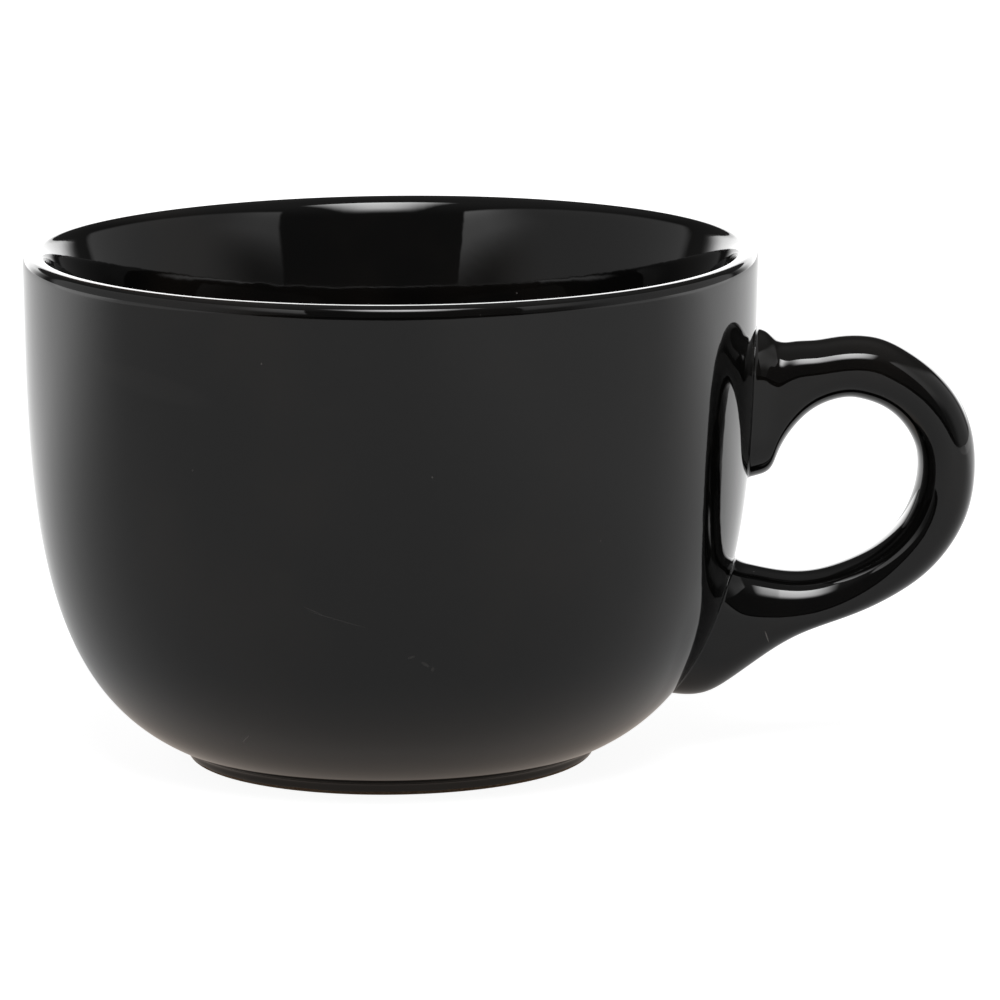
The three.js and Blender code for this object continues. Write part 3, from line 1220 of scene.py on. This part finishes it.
@dataclass(frozen=True)
class Studio:
    """A pale table in a light tent, in metres: floor, surroundings, panels and a top light.

    A lift is light that the table shows to the camera, or in the glaze, and gives to nothing else.
    """

    floor_radius: float = 4.0
    floor_level: float = -0.0001
    floor_segments: int = 96
    floor_tone: float = 0.36
    floor_lift: float = 0.92
    table_front: float = 0.62
    table_soft: float = 0.02
    beyond_tone: float = 0.02
    mirror_lift: float = 0.22
    near_lift: float = 0.15
    near_reach: Pair = (0.036, 0.075)
    near_tint: Colour = (1.0, 0.87, 0.77)
    right_lift: float = 0.1
    right_reach: Pair = (0.0, 0.25)
    back_lift: float = 1.0
    back_reach: Pair = (-0.05, 0.25)
    white_from: Pair = (0.7, 0.88)
    white_top: Pair = (0.22, 0.3)
    opening_tone: float = 0.06
    ceiling_tone: float = 0.2
    ceiling_from: Pair = (0.5, 0.9)
    softboxes: tuple[Softbox, ...] = (
        SidePanel(
            "left_panel", stand=(-0.65, -0.47, 0.43), size=(2.06, 0.95), glow=1.0,
            aim=(0.0, -0.47, 0.43), roll=math.radians(19), low=0.08, top=0.87, step=(0.22, 0.52),
            crest=0.35, front_from=-0.3, front_to=-0.85, front_end=-1.327, front_slant=0.3,
        ),
        SidePanel(
            "right_panel", stand=(0.65, -0.225, 0.351), size=(1.68, 0.95), glow=1.0,
            aim=(0.0, -0.225, 0.351), roll=math.radians(-19),
        ),
        BackPanel("back_panel", stand=(0.0, 1.5, 0.2), size=(2.5, 0.7), glow=2.0),
        TopLight(
            "top_light", stand=(0.085, -1.2015, 1.5555), size=(1.44, 1.0), glow=14.5,
            aim=(0.085, 0.0, 0.045),
        ),
    )

    def build_floor(self, placement: Placement) -> None:
        """Makes the table, a flat disc.

        Args:
            placement: Where the mug stands in the frame.
        """
        turn = np.linspace(0, 2 * math.pi, self.floor_segments, endpoint=False)
        level = np.full_like(turn, self.floor_level)
        reach = self.floor_radius
        edge = np.stack([reach * np.cos(turn), reach * np.sin(turn), level], axis=1)
        mesh = bpy.data.meshes.new("pale_table")
        mesh.from_pydata(edge.tolist(), [], [list(range(len(edge)))])
        mesh.materials.append(self.table_finish(placement))
        floor = new_object("pale_table", mesh)

    def table_finish(self, placement: Placement) -> bpy.types.Material:
        """Matt pale table, lifted for the camera, and in the glaze behind and close to the mug.

        In the glaze it ends in front of the mug.

        Args:
            placement: Where the mug stands in the frame.

        Returns:
            The table's material.
        """
        material = bpy.data.materials.new("pale_table")
        board = NodeBoard(material)
        board.nodes.remove(board.nodes["Principled BSDF"])
        camera, mirrored = board.rays()
        x, y, _ = board.coordinates("Object")
        on_table = board.rise(y, -self.table_front - self.table_soft, -self.table_front)
        shown = board.math("MAXIMUM", on_table, board.less(mirrored))
        tone = board.blend(shown, grey(self.beyond_tone), grey(self.floor_tone))
        diffuse = board.add("ShaderNodeBsdfDiffuse", {"Color": tone})
        behind = board.times(board.rise(y, *self.back_reach), self.back_lift - self.mirror_lift)
        aside = board.math("SUBTRACT", x, placement.axis_x * MM)
        right = board.times(board.rise(aside, *self.right_reach), self.right_lift)
        square = board.plus(board.times(aside, aside), board.times(y, y))
        close = board.fall(board.math("SQRT", square), *self.near_reach)
        near = board.times(close, self.near_lift)
        even = board.plus(board.plus(near, right), self.mirror_lift)
        whole = board.math("MINIMUM", board.plus(behind, even), 1.0)
        in_glaze = board.times(mirrored, board.times(on_table, whole))
        lift = board.math("MAXIMUM", board.times(camera, self.floor_lift), in_glaze)
        tint = board.blend(board.times(close, mirrored), rgba(WHITE), rgba(self.near_tint))
        glow = board.add("ShaderNodeEmission", {"Strength": lift, "Color": tint})
        both = board.add("ShaderNodeAddShader", {0: diffuse.outputs[0], 1: glow.outputs[0]})
        board.fill(board.nodes["Material Output"], {"Surface": both.outputs[0]})
        return material

    def build_world(self) -> None:
        """Sets the surroundings: white for the camera and in the glaze behind, dim elsewhere."""
        world = bpy.data.worlds.new("light_tent")
        bpy.context.scene.world = world
        board = NodeBoard(world)
        camera, mirrored = board.rays()
        _, y, z = board.coordinates("Generated")
        behind = board.times(board.rise(y, *self.white_from), board.fall(z, *self.white_top))
        white = board.math("MAXIMUM", camera, board.times(mirrored, behind))
        upward = board.rise(z, *self.ceiling_from)
        dim = board.blend(upward, grey(self.opening_tone), grey(self.ceiling_tone))
        colour = board.blend(white, dim, rgba(WHITE))
        board.fill(board.nodes["Background"], {"Color": colour})

    def build(self, placement: Placement) -> None:
        """Builds the table round the mug's place, the surroundings and the lights.

        Args:
            placement: Where the mug stands in the frame.
        """
        self.build_floor(placement)
        self.build_world()
        for softbox in self.softboxes:
            softbox.build()
        bpy.context.scene.view_settings.view_transform = "Standard"


def main() -> None:
    """Loads the frame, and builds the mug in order."""
    logging.basicConfig(level=logging.INFO, format="%(name)s %(message)s")
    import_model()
    low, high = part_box("mug_body")
    placement = Placement(axis_x=(low.x + high.x) / 2 / MM)
    StudioCamera().build(placement)
    Studio().build(placement)

    glaze = BlackGlaze("black_glaze", axis_x=placement.axis_x).build()
    slip = BlackGlaze("slip_glaze", roughness=0.05, marks_and_reflection=()).build()
    profile = BowlProfile()
    MugBody(profile, placement).build(glaze)
    handle = LoopHandle(profile, placement)
    handle.build(glaze)
    for root in Root:
        SlipBead(handle, root).build(slip)


if __name__ == "__main__":
    main()
